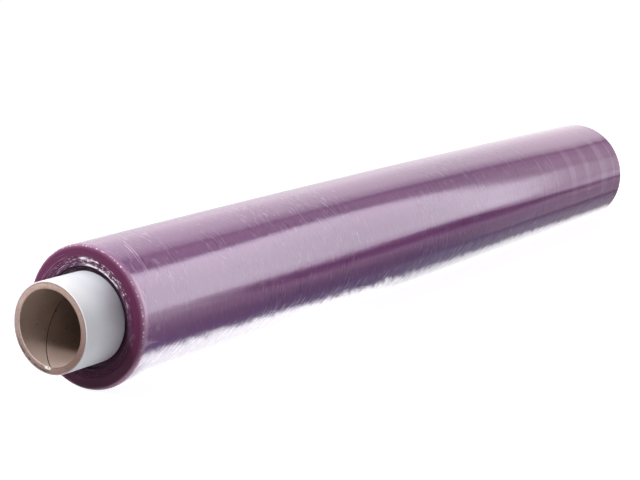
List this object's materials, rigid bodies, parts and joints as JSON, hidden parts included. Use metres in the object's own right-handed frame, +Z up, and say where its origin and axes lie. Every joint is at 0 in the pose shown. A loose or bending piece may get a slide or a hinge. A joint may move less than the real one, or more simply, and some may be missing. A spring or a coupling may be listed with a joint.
{
  "type": "roll of cling film",
  "caption": "Wide catering roll of tinted cling film, wound on a brown board tube with a white paper outer ply that stands out at both ends.",
  "frame": {"origin": "on the surface that the roll lies on, below the middle of its axis", "axes": "+X along the roll's axis, +Y level across it, +Z up"},
  "size_m": [0.49, 0.0596, 0.059],
  "materials": {
    "kraft_board": "matte grey-brown board with cut plies",
    "white_paper": "satin white, slightly bluish",
    "tinted_film": "glossy clear film, purple where many turns lie together"
  },
  "bodies": {
    "root": {"core_tube": "kraft_board", "core_wrap": "white_paper", "wound_film": "tinted_film"}
  },
  "joints": []
}
